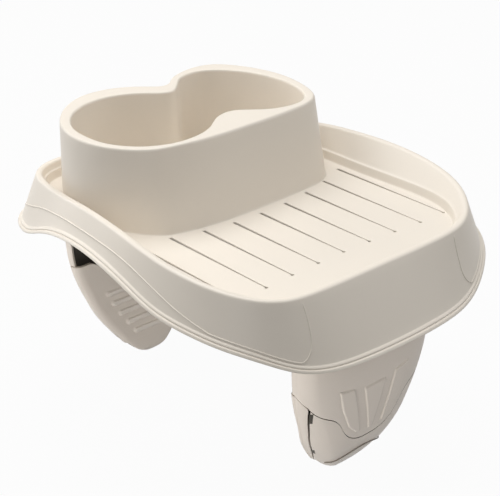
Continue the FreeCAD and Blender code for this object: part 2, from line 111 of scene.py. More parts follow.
# Line of the side panel: station number and share of the skirt's height
PANEL_LINE = [(23.3, 0.78), (24.2, 0.60), (25.3, 0.47), (26.9, 0.49), (28.1, 0.53), (29.2, 0.53),
              (30.1, 0.50), (30.8, 0.49), (32.0, 0.56), (32.9, 0.70), (33.7, 0.81), (34.6, 0.91),
              (35.5, 0.96), (36.2, 0.95), (36.8, 0.90), (37.15, 0.85), (37.4, 0.74), (37.55, 0.6),
              (37.6, 0.43), (37.62, 0.23), (37.6, 0.07)]
PANEL_STRETCH = 2.2       # stations that the skirt's height counts for along the line
PANEL_WIDTH = 1.0
PANEL_RISE = 0.35
PANEL_LIFT = 4.8          # the line stays this far above the hem

# Cup holder
CUP_RIM_Z = 48.8
CUP_OUTER_TOP = [
    (-16.4, 0.0), (-16.4, -17.0), (-17.6, -33.0), (-19.8, -47.0), (-23.5, -58.5),
    (-30.5, -67.5), (-40.5, -75.0), (-52.0, -79.6), (-65.0, -81.0), (-78.0, -79.3),
    (-90.5, -74.5), (-101.5, -67.0), (-110.5, -58.0), (-117.5, -47.0), (-121.5, -34.0),
    (-120.0, -17.5), (-113.0, -3.5), (-106.0, 4.6), (-102.4, 10.4), (-103.8, 16.4),
    (-109.0, 22.8), (-113.6, 31.2), (-116.2, 41.0), (-116.5, 51.0), (-113.0, 61.0),
    (-104.5, 68.8), (-93.6, 74.6), (-82.0, 78.4), (-68.0, 80.5), (-52.0, 79.2),
    (-38.5, 75.5), (-27.6, 69.6), (-20.6, 58.0), (-18.0, 40.0), (-16.8, 19.0)]
CUP_DRAFT_FRONT = 11.2    # the wall leans by this much more where it faces the slots,
CUP_FRONT_X = -60.0       # from here on
CUP_FRONT_RUN = 42.0      # and in full after this distance
CUP_DRAFT_SIDE = 0.8
CUP_SIDE_Y = 60.0
CUP_DRAFT_ALL = 0.3
WELL_TOP = [
    (-41.0, 9.0), (-38.2, -0.5), (-32.4, -8.6), (-27.2, -17.0), (-23.8, -28.0),
    (-23.0, -41.0), (-26.6, -52.8), (-34.0, -63.6), (-45.0, -71.2), (-56.0, -74.2),
    (-68.0, -74.6), (-80.0, -72.4), (-91.0, -66.6), (-100.0, -57.8), (-106.4, -46.0),
    (-108.6, -34.0), (-107.2, -22.0), (-101.8, -9.8), (-94.6, -1.0), (-90.4, 6.2),
    (-92.0, 12.8), (-99.0, 20.4), (-106.0, 28.4), (-108.8, 39.0), (-107.2, 48.2),
    (-101.4, 56.6), (-92.4, 63.6), (-82.0, 69.0), (-69.0, 72.2), (-55.0, 73.0),
    (-42.4, 70.2), (-32.0, 64.8), (-25.4, 56.4), (-24.2, 45.6), (-27.4, 33.6),
    (-34.0, 24.0), (-39.2, 17.2)]
WELL_DRAFT = 1.8
CUP_RIM_SHARE, WELL_RIM_SHARE = 0.42, 0.36    # of the wall's top, for the rounding of its edges
CUP_RIM_CUT, WELL_RIM_CUT = (1.5, 2.6), (1.3, 2.2)
RIM_LAND = 0.3
HOLLOW_TOP_Z = 36.0
CUP_FOOT_CUT = 1.5        # rounding between the cup holder and the floor
WELL_FOOT_CUT = 5.0
CUP_AROUND = 480

# Drain slots: by distance from the middle slot
SLOT_COUNT = 9
SLOT_START = [0.0, -0.8, -4.0, -9.0, -16.2]
SLOT_END = [66.8, 67.2, 68.0, 69.4, 69.4]
SLOT_PITCH = 20.0
SLOT_WIDE = 2.0           # width at the cup holder
SLOT_NARROW = 0.7         # width at the open end
EYE_WIDTH = 2.2
SLOT_EDGE = 0.22          # softened edge
SLOT_GUARD = 0.5
SLOT_SHARE = 0.15

# Snap posts under the floor and the bracket plates that they pass through
POST_U, POST_V = 78.0, 30.0
POST_L, POST_T, POST_DROP = 14.0, 3.2, 10.0
BARB_OUT, BARB_H = 1.6, 3.0
POST_CLEAR = 0.5
PLATE_T = 3.0
EAR_INNER_U, EAR_OUTER_U, EAR_W = 72.0, 104.0, 17.0
PLATE_SECTION_Z = -4.0    # the plate follows the claw's section at this height
PLATE_SHARE = (0.9, 0.985, 1.0)
PLATE_LAP = 0.02          # keeps the faces of plate, ears and floor apart

# Claws, in their own axes: u outwards from CLAW_AXIS_X, v across, z as the tray
CLAW_AXIS_X = -21.0
# z, outer face u, inner face u, half width v, outer and inner corner radius,
# and how far the outer face falls away to its sides
CLAW_SECTIONS = [
    (-2.4, 108.5, 98.5, 50.0, 3.0, 1.8, 3.0),
    (-20.0, 113.2, 100.0, 50.8, 6.0, 3.0, 3.8),
    (-36.0, 116.0, 100.3, 51.2, 8.0, 4.0, 4.6),
    (-50.0, 117.0, 100.1, 51.2, 8.5, 4.5, 5.2),
    (-64.0, 117.0, 99.6, 50.0, 9.0, 5.0, 5.8),
    (-78.0, 116.4, 98.6, 46.8, 9.5, 5.0, 6.4),
    (-92.0, 115.2, 96.6, 41.6, 9.5, 5.0, 6.8),
    (-106.0, 112.8, 92.8, 35.6, 9.5, 5.0, 7.0),
    (-118.0, 108.2, 89.0, 28.0, 8.5, 5.0, 6.0),
    (-130.0, 100.8, 86.0, 18.4, 6.5, 4.0, 3.2),
    (-139.5, 92.5, 85.0, 7.5, 3.4, 2.6, 0.5),
]
CLAW_TOP_Z, CLAW_TIP_Z = CLAW_SECTIONS[0][0], CLAW_SECTIONS[-1][0]
TIP_ROUND_Z = -135.0      # the tip closes in a dome below this height
LEG_SKIN = 2.6
EDGE_BREAK = 0.35
# Shares round half the section: ends of the outer face, its corner, the side face and its
# corner, and the middle of the inner face
S_OUT, S_CORNER, S_SIDE, S_INNER, S_BACK = 0.6, 0.8, 1.2, 1.4, 2.0
BRACKET_END = 1.26        # the bracket is open towards the tub wall from this share on
SEAM = [(0.0, -107.8), (5.0, -107.6), (9.5, -106.4), (13.8, -104.2), (17.8, -100.9), (21.2, -96.6),
        (24.8, -90.4), (28.5, -86.2), (34.0, -82.8), (40.0, -79.0), (43.8, -75.2), (46.6, -70.8),
        (60.0, -66.0)]
SEAM_FROM_U = 108.5       # the seam takes over from the pad's top edge here
SEAM_BLEND = 1.5
SLIT = [(-75.0, 110.0), (-96.0, 104.6), (-115.0, 98.5), (-126.5, 91.5)]    # z, u
PAD_SIDE_U = 103.5        # the pad's top edge slants from the slit to here
PAD_SLANT = 8.0
PAD_SLANT_RUN = 6.5
PAD_TOP_SIDE_Z = -65.5
PAD_TOP_MID_Z = -76.0
PAD_TOP_HALF = 38.0
PAD_LOW_Z = -126.5
PAD_PROUD = 0.9           # the pad's grip face stands this far over the bracket's edge
PAD_PROUD_S = 1.1         # from this share on
RIB_LOW_Z = -120.0
RIB_PITCH = 7.3
RIB_HALF_W = [14.5, 18.5, 22.8, 26.5, 29.5]
RIB_T = 3.0
RIB_RISE = 1.2
EDGE_LOW_Z, EDGE_HIGH_Z = -134.0, -40.0    # edges of pieces are looked for between these
# Raised fins on the bracket's outer face, drawn as v, z
FINS = [
    [(-27.5, -67.0), (-16.5, -69.5), (-8.6, -101.0), (-11.0, -100.5), (-18.0, -94.0), (-24.0, -80.5)],
    [(-8.4, -71.5), (8.4, -71.5), (1.2, -102.0), (-1.2, -102.0)],
    [(16.5, -69.5), (27.5, -67.0), (24.0, -80.5), (18.0, -94.0), (11.0, -100.5), (8.6, -101.0)],
]
FIN_RISE = 0.8
GAP = 0.35                # half of the gap at each seam
SLIT_GAP = 0.5            # half of the slit's width
WINDOW_W = 1.2            # snap windows beside the slit
WINDOW_IN = 0.42          # how far they reach into the slit
WINDOWS = [(-84.3, -76.8), (-113.8, -109.6)]
# The snap windows are dark slabs of painted shade, standing this far out of the cover and reaching this
# deep into it
WINDOW_OUT, WINDOW_DEPTH = 0.04, 0.8
CREASE_MID_Z = -117.0     # the cover's tip starts at this crease
CREASE_SIDE_Z = -124.5
CREASE_HALF = 23.0
CREASE_STEP = 0.55
CREASE_LINE = (-0.2, -0.5)    # the thin dark strip of painted shadow lies this far below the crease
CREASE_LINE_S = 0.7
CREASE_LINE_OUT, CREASE_LINE_DEPTH = 0.08, 0.7

# Materials of a claw piece by index
SKIN_SLOT, PAINTED_SHADE_SLOT, LIT_RIB_SLOT, SEAM_SHADE_SLOT = 0, 1, 2, 3
IVORY = (0.80, 0.737, 0.65)
# The claws are the tray's ivory plastic; this copy is darker and warmer as painted shade and warm bounce
# light under the tray
SHADED_CLAW_IVORY = (0.79, 0.712, 0.63)
# Lighter ivory on the ribs' top faces: painted highlight
RIB_TOP_LIT_IVORY = (0.87, 0.80, 0.72)
# Dark brown for the strip along the cover's crease and the cover's wall edges at the seam and slits:
# painted shadow
SEAM_SHADE = (0.22, 0.185, 0.145)
# Near-black for the claws' inside faces and the snap windows: painted shade
PAINTED_SHADE = (0.05, 0.042, 0.03)

# Studio and camera
WHITE = (1.0, 1.0, 1.0, 1.0)
WARM_WHITE = (1.0, 0.985, 0.965, 1.0)
FLOOR_GREY = (0.4, 0.4, 0.4, 1.0)
FLOOR_SEEN = 0.96         # share of plain white that the camera sees in the floor
FLOOR_HALF = 8.0
FILL = 0.14
CAMERA_AZ, CAMERA_EL = 48.10, 26.31
CAMERA_DISTANCE = 751.6
CAMERA_TARGET = (30.4, -35.4, 0.0)
LENS, SENSOR = 98.04, 36.0
AIM = Vector([(c + o) * MM for c, o in zip(CAMERA_TARGET, SEAT)])


def unit(v):
    """Vectors at length one."""
    return v / np.maximum(np.linalg.norm(v, axis=-1, keepdims=True), 1e-9)


def closed_curve(points, count):
    """Sample the smooth closed curve through the points, evenly in parameter."""
    p = np.array(points, float)
    p = p[:, None] if p.ndim == 1 else p
    n = len(p)
    system = 4.0 * np.eye(n) + np.roll(np.eye(n), 1, 0) + np.roll(np.eye(n), -1, 0)
    bend = np.linalg.solve(system, 6.0 * (np.roll(p, -1, 0) - 2.0 * p + np.roll(p, 1, 0)))
    t = np.arange(count) * n / count
    i = t.astype(int) % n
    b = (t - np.floor(t))[:, None]
    a, j = 1.0 - b, (i + 1) % n
    return a * p[i] + b * p[j] + ((a ** 3 - a) * bend[i] + (b ** 3 - b) * bend[j]) / 6.0


def open_curve(x, points):
    """Smooth values at x through (x, value, ...) points."""
    p = np.array(points, float)
    p = p[np.argsort(p[:, 0])]
    k, v = p[:, 0], p[:, 1:]
    h, d = np.diff(k), np.diff(v, axis=0) / np.diff(k)[:, None]
    middle = (d[1:] * h[:-1, None] + d[:-1] * h[1:, None]) / (h[1:] + h[:-1])[:, None]
    slope = np.vstack([d[:1], middle, d[-1:]])
    x = np.clip(np.asarray(x, float), k[0], k[-1])
    i = np.clip(np.searchsorted(k, x) - 1, 0, len(h) - 1)
    t = ((x - k[i]) / h[i])[..., None]
    hh = h[i][..., None]
    out = ((2 * t ** 3 - 3 * t ** 2 + 1) * v[i] + (t ** 3 - 2 * t ** 2 + t) * hh * slope[i]
           + (3 * t ** 2 - 2 * t ** 3) * v[i + 1] + (t ** 3 - t ** 2) * hh * slope[i + 1])
    return out[..., 0] if out.shape[-1] == 1 else out


def plan_normals(ring):
    """Outward normals in plan of a closed ring of points."""
    tangent = np.roll(ring, -1, 0)[:, :2] - np.roll(ring, 1, 0)[:, :2]
    area = np.sum(ring[:, 0] * np.roll(ring[:, 1], -1) - np.roll(ring[:, 0], -1) * ring[:, 1])
    side = 1.0 if area > 0 else -1.0
    n = np.stack([side * tangent[:, 1], -side * tangent[:, 0], 0.0 * tangent[:, 0]], 1)
    return unit(n)


def smooth_step(x):
    """Smooth rise from 0 to 1, held beyond both ends."""
    x = np.clip(x, 0.0, 1.0)
    return x * x * (3 - 2 * x)


def spread(*runs):
    """Numbers over several runs (start, end, count), without repeats."""
    parts = [np.linspace(a, b, n + 1)[:-1] for a, b, n in runs]
    return np.concatenate(parts + [[runs[-1][1]]])


def with_z(ring, z):
    """A ring moved to a height, or to a height for each point."""
    return np.column_stack([ring[:, 0], ring[:, 1], np.broadcast_to(z, len(ring))])


def rounded(path, cuts, steps):
    """Rings through the corners of a path, each corner rounded over its cut length."""
    out = [path[0]]
    for k in range(1, len(path) - 1):
        p, a, b = path[k], path[k - 1] - path[k], path[k + 1] - path[k]
        if np.max(cuts[k]) <= 0.0:
            out.append(p)
            continue
        la = np.minimum(cuts[k], 0.48 * np.linalg.norm(a, axis=1))[:, None]
        lb = np.minimum(cuts[k], 0.48 * np.linalg.norm(b, axis=1))[:, None]
        start, end = p + unit(a) * la, p + unit(b) * lb
        for t in np.linspace(0.0, 1.0, steps + 1):
            out.append((1 - t) ** 2 * start + 2 * t * (1 - t) * p + t * t * end)
    out.append(path[-1])
    return out


def between(a, b, count):
    """Rings strictly between two rings."""
    return [a + (b - a) * k / (count + 1) for k in range(1, count + 1)]


def add_ring(bm, ring):
    """One vertex for each point."""
    return [bm.verts.new(p) for p in ring]


def bridge(bm, a, b):
    """Quads between two closed rings of vertices."""
    n = len(a)
    return [bm.faces.new((a[i], a[(i + 1) % n], b[(i + 1) % n], b[i])) for i in range(n)]


def skin(bm, rings):
    """Quads over a list of rings."""
    made = [add_ring(bm, ring) for ring in rings]
    for a, b in zip(made, made[1:]):
        bridge(bm, a, b)
    return made


def add_grid(bm, grid):
    """Quads over rows of points; gives back the rows of vertices and the faces."""
    rows = [add_ring(bm, row) for row in grid]
    faces = []
    for a, b in zip(rows, rows[1:]):
        faces += [bm.faces.new((a[i], b[i], b[i + 1], a[i + 1])) for i in range(len(a) - 1)]
    return rows, faces


def inside(points, loops):
    """Even-odd test of points against several closed loops together."""
    hit = np.zeros(len(points), bool)
    for loop in loops:
        a, b = loop, np.roll(loop, -1, 0)
        px, py = points[:, :1], points[:, 1:]
        cross = (a[:, 1] > py) != (b[:, 1] > py)
        rise = np.where(a[:, 1] == b[:, 1], 1.0, b[:, 1] - a[:, 1])
        xs = a[:, 0] + (py - a[:, 1]) * (b[:, 0] - a[:, 0]) / rise
        hit ^= (np.sum(cross & (px < xs), axis=1) % 2).astype(bool)
    return hit


def fill(bm, loops, up):
    """Flat faces inside the first loop of vertices and outside the others."""
    verts = [v for loop in loops for v in loop]
    edges, base = [], 0
    for loop in loops:
        edges += [(base + i, base + (i + 1) % len(loop)) for i in range(len(loop))]
        base += len(loop)
    flat = [Vector((v.co.x, v.co.y)) for v in verts]
    _, _, tris, origin, _, _ = delaunay_2d_cdt(flat, edges, [], 0, 1e-5)
    co = np.array([[v.co.x, v.co.y] for v in verts])
    back = [o[0] if o else None for o in origin]
    tris = [[back[i] for i in t] for t in tris]
    tris = [t for t in tris if None not in t]
    middles = np.array([co[t].mean(0) for t in tris])
    keep = inside(middles, [np.array([[v.co.x, v.co.y] for v in loop]) for loop in loops])
    for t, ok in zip(tris, keep):
        if ok:
            a, b, c = co[t]
            ccw = (b[0] - a[0]) * (c[1] - a[1]) - (b[1] - a[1]) * (c[0] - a[0]) > 0
            t = t if ccw == up else t[::-1]
            bm.faces.new([verts[i] for i in t])


def seated(x, y, z):
    """A point of the tray's own frame, in metres in the row frame."""
    return Vector(((x + SEAT[0]) * MM, (y + SEAT[1]) * MM, (z + SEAT[2]) * MM))


def claw_seated(u, v, z, side):
    """A point in a claw's axes, at the front (1) or the rear (-1), in the row frame."""
    return seated(side * u + CLAW_AXIS_X, side * v, z)


def finished(name, bm, node):
    """A mesh object in the row frame that stands for a CAD node."""
    for v in bm.verts:
        v.co = seated(*v.co)
    for f in bm.faces:
        f.smooth = True
    mesh = bpy.data.meshes.new(name)
    bm.to_mesh(mesh)
    bm.free()
    obj = bpy.data.objects.new(name, mesh)
    bpy.context.scene.collection.objects.link(obj)
    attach(obj, "root")
    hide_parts(node)
    return obj


# Tray
def mirrored(half):
    """Close a half outline that runs from y = 0 to y = 0."""
    return list(half) + [(p[0], -p[1]) + tuple(p[2:]) for p in half[-2:0:-1]]


def cup_loops():
    """Outer wall of the cup holder at its top and at the tray floor."""
    top, base = [], []
    for x, y in CUP_OUTER_TOP:
        lean = CUP_DRAFT_FRONT * smooth_step((x - CUP_FRONT_X) / CUP_FRONT_RUN)
        side = CUP_DRAFT_SIDE * max(-1.0, min(1.0, y / CUP_SIDE_Y))
        top.append((x, y, CUP_RIM_Z))
        base.append((x + lean, y + side, 0.0))
    base = closed_curve(base, CUP_AROUND)
    return closed_curve(top, CUP_AROUND), base + CUP_DRAFT_ALL * plan_normals(base)


def wall_width(ring, *loops):
    """Distance in plan from each point of a ring to the nearest of other closed loops."""
    best = np.full(len(ring), np.inf)
    for loop in loops:
        a, d = loop[:, :2], (np.roll(loop, -1, 0) - loop)[:, :2]
        away = ring[:, None, :2] - a
        k = np.clip((away * d).sum(2) / (d * d).sum(1), 0.0, 1.0)
        best = np.minimum(best, np.linalg.norm(away - k[..., None] * d, axis=2).min(1))
    return best


def slot_outline(index):
    """A slot that narrows towards the open end and finishes in a small drop."""
    side = index - SLOT_COUNT // 2
    y, x0, x1 = side * SLOT_PITCH, SLOT_START[abs(side)], SLOT_END[abs(side)]
    a, b, c = SLOT_WIDE / 2, SLOT_NARROW / 2, EYE_WIDTH / 2
    half = [(x0, 0.0), (x0, a * 0.55), (x0 + a * 0.45, a)]
    half += [(x0 + (x1 - x0) * k, a + (b - a) * k) for k in (0.2, 0.4, 0.6, 0.8, 0.98)]
    half += [(x1 + 0.4, b + 0.15), (x1 + 1.1, c * 0.85), (x1 + 1.5, c), (x1 + 1.9, c * 0.8)]
    half += [(x1 + 2.1, 0.0)]
    outline = half + [(p, -q) for p, q in half[-2:0:-1]]
    return np.array([(p, y - q, 0.0) for p, q in outline])


def add_box(bm, low, high):
    """An upright box between two corners."""
    low, high = Vector(low), Vector(high)
    place = Matrix.Translation((low + high) / 2) @ Matrix.Diagonal((high - low).to_4d())
    bmesh.ops.create_cube(bm, size=1.0, matrix=place)


def extruded(bm, corners, way):
    """A prism: a flat face through the corners, pushed along a vector."""
    face = bm.faces.new([bm.verts.new(corner) for corner in corners])
    made = bmesh.ops.extrude_face_region(bm, geom=[face], use_keep_orig=True)["geom"]
    moved = [part for part in made if isinstance(part, bmesh.types.BMVert)]
    bmesh.ops.translate(bm, verts=moved, vec=way)


def on_skirt_line(station, down):
    """Points and outward normals of the skirt at a station number and a share of its height."""
    rim = closed_curve(mirrored([s[0] for s in STATIONS]), AROUND)
    hem = closed_curve(mirrored([s[1] for s in STATIONS]), AROUND)
    low = hem - LIP_OUT * plan_normals(hem)
    at = station * AROUND / (2 * len(STATIONS) - 2)
    i, t = np.floor(at).astype(int), (at - np.floor(at))[:, None]

    def there(ring, k):
        return ring[(i + k) % AROUND] * (1 - t) + ring[(i + k + 1) % AROUND] * t
    top, foot = there(rim, 0), there(low, 0)
    down = np.minimum(down, 1.0 - PANEL_LIFT / (top[:, 2] - foot[:, 2]))[:, None]
    along = there(rim, 1) * (1 - down) + there(low, 1) * down - (top + (foot - top) * down)
    out = unit(np.cross(foot - top, along))
    point = top + (foot - top) * down
    away = np.sum(out * there(plan_normals(rim), 0), axis=1, keepdims=True)
    return point, out * np.sign(away)


def add_panel_line(bm, side):
    """The thin raised line of the skirt's side panel, half sunk in the skirt."""
    control = np.array(PANEL_LINE)
    run = np.hypot(np.diff(control[:, 0]), PANEL_STRETCH * np.diff(control[:, 1]))
    step = np.concatenate([[0.0], np.cumsum(run)])
    t = np.linspace(0.0, step[-1], 420)
    path = open_curve(t, np.column_stack([step, control]))
    point, out = on_skirt_line(path[:, 0], path[:, 1])
    way = unit(np.gradient(point, axis=0))
    across = np.cross(out, way)
    fade = np.minimum(1.0, np.minimum(t, t[-1] - t) / 0.12)[:, None]
    rows = []
    for wide, high in ((-0.62, -0.4), (-0.34, 0.3), (0.34, 0.3), (0.62, -0.4)):
        row = point + across * PANEL_WIDTH * wide + out * (PANEL_RISE * high / 0.3 * fade - 0.05)
        rows.append(row * [1.0, side, 1.0])
    rings = skin(bm, np.stack(rows, axis=1))
    bm.faces.new(rings[0])
    bm.faces.new(rings[-1])


def tray_rings(neighbours):
    """Rings from the floor over the rim, down the skirt and back up inside to the floor."""
    rim = closed_curve(mirrored([s[0] for s in STATIONS]), AROUND)
    hem = closed_curve(mirrored([s[1] for s in STATIONS]), AROUND)
    inset = closed_curve(FLOOR_INSET + FLOOR_INSET[-2:0:-1], AROUND)[:, 0]
    out_rim, out_hem = plan_normals(rim), plan_normals(hem)
    room = inset - RIM_WIDTH
    step = np.minimum(LEDGE_STEP, 0.35 * room)
    shelf = np.minimum(LEDGE_STEP + SHELF_W, 0.6 * room)
    ledge_z = np.minimum(LEDGE_Z, 0.55 * rim[:, 2])
    skirt_end = hem - LIP_OUT * out_hem

    def in_from_rim(distance, z):
        return with_z(rim - np.reshape(distance, (-1, 1)) * out_rim, z)

    def on_skirt(height, out):
        k = ((hem[:, 2] + height - rim[:, 2]) / (hem[:, 2] - rim[:, 2]))[:, None]
        return rim + (skirt_end - rim) * k + out * out_hem

    clear = wall_width(in_from_rim(inset, 0.0), *neighbours)
    floor_cut = np.minimum(FLOOR_CUT, CUT_SHARE * clear)
    guard = np.minimum(GUARD, GUARD_SHARE * clear)
    path = [in_from_rim(inset + floor_cut + guard, 0.0),
            in_from_rim(inset + floor_cut, 0.0),
            in_from_rim(inset, 0.0),
            in_from_rim(inset - step, ledge_z),
            in_from_rim(inset - shelf, ledge_z + 0.3),
            in_from_rim(RIM_WIDTH, rim[:, 2]),
            in_from_rim(0.0, rim[:, 2])]
    cuts = [0, 0, floor_cut, LEDGE_CUT, SHELF_CUT, RIM_CUT, RIM_CUT]
    path += between(path[-1], on_skirt(HEM_TOP, 0.0), 7)
    cuts += [0] * 7
    path += [on_skirt(height, out) for height, out, _ in HEM]
    cuts += [cut for _, _, cut in HEM]

    under = np.minimum(SKIN, 0.45 * SKIN + 0.15 * room)
    slope = np.maximum(RIM_WIDTH + 0.2 * room - under, RIM_WIDTH - SKIN)
    slope = np.minimum(slope, inset - step - SKIN - 0.4)
    share = (-UNDER_RIM / (hem[:, 2] - rim[:, 2]))[:, None]
    path += [hem - (LIP_OUT + SKIN) * out_hem,
             rim + (skirt_end - rim) * share - SKIN * out_hem,
             in_from_rim(slope, np.maximum(rim[:, 2] - UNDER_RIM - 0.5, ledge_z - SKIN + 0.2)),
             in_from_rim(inset - step - SKIN, ledge_z - SKIN),
             in_from_rim(inset - SKIN, -SKIN),
             in_from_rim(inset - SKIN + 1.5, -SKIN)]
    cuts += [UNDER_CUT, 1.0, UNDER_CUT, UNDER_CUT, UNDER_CUT, 0]
    return rounded(path, cuts, 4), in_from_rim(inset, 0.0)


def add_cup_holder(bm, cup_top, cup_base, neighbours):
    """The double-walled cup holder; gives back its foot on the floor and the one below it."""
    well_top = closed_curve([(x, y, CUP_RIM_Z) for x, y in WELL_TOP], CUP_AROUND)
    out_cup, out_base, out_well = [plan_normals(ring) for ring in (cup_top, cup_base, well_top)]
    cup_cut = np.clip(CUP_RIM_SHARE * wall_width(cup_top, well_top), *CUP_RIM_CUT)
    well_cut = np.clip(WELL_RIM_SHARE * wall_width(well_top, cup_top), *WELL_RIM_CUT)
    clear = wall_width(cup_base, *neighbours)[:, None]
    foot_cut = np.minimum(CUP_FOOT_CUT, CUT_SHARE * clear)
    guard = np.minimum(GUARD, GUARD_SHARE * clear)
    path = [cup_base + (foot_cut + guard) * out_base, cup_base + foot_cut * out_base, cup_base]
    path += between(cup_base, cup_top, 6)
    path += [cup_top, cup_top - (cup_cut[:, None] + RIM_LAND) * out_cup]
    cup = skin(bm, rounded(path, [0, 0, foot_cut[:, 0]] + [0] * 6 + [cup_cut, 0], 6))
    well_low = with_z(well_top - WELL_DRAFT * out_well, 0.0)
    path = [well_top + (well_cut[:, None] + RIM_LAND) * out_well, well_top]
    path += between(well_top, well_low, 6)
    path += [well_low - distance * out_well for distance in (0.0, WELL_FOOT_CUT, WELL_FOOT_CUT + GUARD)]
    well = skin(bm, rounded(path, [0, well_cut] + [0] * 6 + [WELL_FOOT_CUT, 0, 0], 6))
    fill(bm, [cup[-1], well[0]], True)
    fill(bm, [well[-1]], True)

    def hollow_wall(a, b, ends, growth, normals):
        """The wall between a and b, moved sideways and cut at two heights."""
        rings = []
        for z, n in zip(ends, normals):
            k = (z - a[0, 2]) / (b[0, 2] - a[0, 2])
            rings.append(with_z(a + (b - a) * k + growth * n, z))
        return skin(bm, [rings[0]] + between(rings[0], rings[1], 3) + [rings[1]])
    hollow_out = hollow_wall(cup_base, cup_top, (-SKIN, HOLLOW_TOP_Z), -SKIN, (out_base, out_cup))
    hollow_in = hollow_wall(well_low, well_top, (HOLLOW_TOP_Z, -SKIN), SKIN, (out_well, out_well))
    fill(bm, [hollow_out[-1], hollow_in[0]], False)
    fill(bm, [hollow_in[-1]], False)
    return cup[0], hollow_out[0]


def add_slot(bm, outline, neighbours):
    """The walls of one drain slot, with a softened edge on top."""
    n = plan_normals(outline)
    clear = wall_width(outline, *neighbours)[:, None]
    guard, cut = [np.minimum(width, SLOT_SHARE * clear) for width in (SLOT_GUARD, SLOT_EDGE)]
    return skin(bm, [outline + (cut + guard) * n, outline + cut * n,
                     with_z(outline + 0.2 * cut * n, -0.12), with_z(outline, -0.4), with_z(outline, -SKIN)])


def add_snap_posts(bm, side):
    """Two barbed posts under the floor, at the front (1) or the rear (-1)."""
    u, under = CLAW_AXIS_X + side * POST_U, -SKIN - PLATE_T
    inner = u - side * POST_T / 2
    for v in (-POST_V, POST_V):
        add_box(bm, (u - POST_T / 2, v - POST_L / 2, -SKIN - POST_DROP),
                (u + POST_T / 2, v + POST_L / 2, -SKIN + 0.6))
        barb = [(inner, under - 0.1), (inner - side * BARB_OUT, under - 0.1), (inner, under - BARB_H)]
        extruded(bm, [(p, v - POST_L / 2, z) for p, z in barb], (0.0, POST_L, 0.0))


def build_tray():
    """The whole moulding: rim, skirt and floor, cup holder, slots, panel lines and snap posts."""
    bm = bmesh.new()
    cup_top, cup_base = cup_loops()
    outlines = [slot_outline(index) for index in range(SLOT_COUNT)]
    rings, floor_edge = tray_rings([cup_base] + outlines)
    rings = skin(bm, rings)
    cup_foot, hollow_foot = add_cup_holder(bm, cup_top, cup_base, [floor_edge] + outlines)
    slots = [add_slot(bm, outline, [floor_edge, cup_base]) for outline in outlines]
    fill(bm, [rings[0], cup_foot] + [slot[0] for slot in slots], True)
    fill(bm, [rings[-1], hollow_foot] + [slot[-1] for slot in slots], False)
    for side in (1, -1):
        add_panel_line(bm, side)
        add_snap_posts(bm, side)
    bmesh.ops.recalc_face_normals(bm, faces=bm.faces)
    return finished("tray_shell", bm, "tray")


# Claws
def claw_section(z):
    """Outer u, inner u, half width and corner radius at z, closing in a dome at the tip."""
    b, a, w, r, q, crown = np.moveaxis(open_curve(z, CLAW_SECTIONS), -1, 0)
    t = np.clip((TIP_ROUND_Z - z) / (TIP_ROUND_Z - CLAW_TIP_Z), 0.0, 1.0)
    k = np.sqrt(1.0 - t * t)
    mid = (a + b) / 2
    return mid + (b - mid) * k, mid + (a - mid) * k, w * k, r * k, q * k, crown * k


def claw_point(z, s):
    """Point of the claw's outside at height z; s runs from -S_BACK to S_BACK round the section."""
    z, s = np.broadcast_arrays(np.asarray(z, float), np.asarray(s, float))
    s = (s + S_BACK) % (2 * S_BACK) - S_BACK
    b, a, w, r, q, crown = claw_section(z)
    t = np.abs(s)
    turn_1 = np.clip((t - S_OUT) / (S_CORNER - S_OUT), 0, 1) * math.pi / 2
    turn_2 = np.clip((t - S_SIDE) / (S_INNER - S_SIDE), 0, 1) * math.pi / 2
    along = np.clip((t - S_CORNER) / (S_SIDE - S_CORNER), 0, 1)
    u = b - r * (1 - np.cos(turn_1)) - (b - a - r - q) * along - q * np.sin(turn_2)
    flat_out = np.clip(t / S_OUT, 0, 1)
    flat_in = np.clip((S_BACK - t) / (S_BACK - S_INNER), 0, 1)
    v = np.where(t < S_SIDE, (w - r) * flat_out + r * np.sin(turn_1),
                 (w - q) * flat_in + q * np.cos(turn_2))
    across = np.clip(v / np.maximum(w, 0.5), 0, 1)
    u = u - crown * across ** 4 * np.clip((u - a) / np.maximum(b - a, 0.5), 0, 1)
    return np.stack([u, np.sign(s) * v, z], -1)


def s_at_u(z, u):
    """Where the section at z crosses u on its side."""
    low, high = np.full(np.shape(z), S_OUT), np.full(np.shape(z), S_INNER)
    for _ in range(24):
        mid = (low + high) / 2
        outside = claw_point(z, mid)[..., 0] > u
        low, high = np.where(outside, mid, low), np.where(outside, high, mid)
    return (low + high) / 2


def pad_slant(u):
    """How far the pad's top edge falls towards the slit at each side."""
    return PAD_SLANT * np.clip((u - PAD_SIDE_U) / PAD_SLANT_RUN, 0, 1) ** 1.5


def bracket_edge(u, v):
    """Height of the bracket's lower edge: the seam outside, the pad's top at the sides."""
    seam = open_curve(np.abs(v), SEAM)
    k = smooth_step((u - SEAM_FROM_U) / SEAM_BLEND)
    return (PAD_TOP_SIDE_Z - pad_slant(u)) * (1 - k) + seam * k


def pad_edge(u, v):
    """Height of the pad's top edge, which dips between its two shoulders."""
    rise = (PAD_TOP_SIDE_Z - PAD_TOP_MID_Z) * np.clip(np.abs(v) / PAD_TOP_HALF, 0, 1) ** 2
    return PAD_TOP_MID_Z + rise - pad_slant(u)


def slit_u(z):
    """Where the slit between cover and pad runs on the claw's sides."""
    return open_curve(z, SLIT)


def edge_height(s_of, edge):
    """Height at which each column of a patch meets an edge, by halving."""
    high = np.full(len(s_of(EDGE_HIGH_Z)), EDGE_HIGH_Z)
    low = np.full(len(high), EDGE_LOW_Z)
    for _ in range(30):
        z = (high + low) / 2
        p = claw_point(z, s_of(z))
        above = z > edge(p[:, 0], p[:, 1])
        high, low = np.where(above, z, high), np.where(above, low, z)
    return (high + low) / 2


def surface_normals(grid):
    """Outward normals of a grid of points whose rows run down and columns run round."""
    down = np.gradient(grid, axis=0)
    along = np.gradient(grid, axis=1)
    return unit(np.cross(down, along))


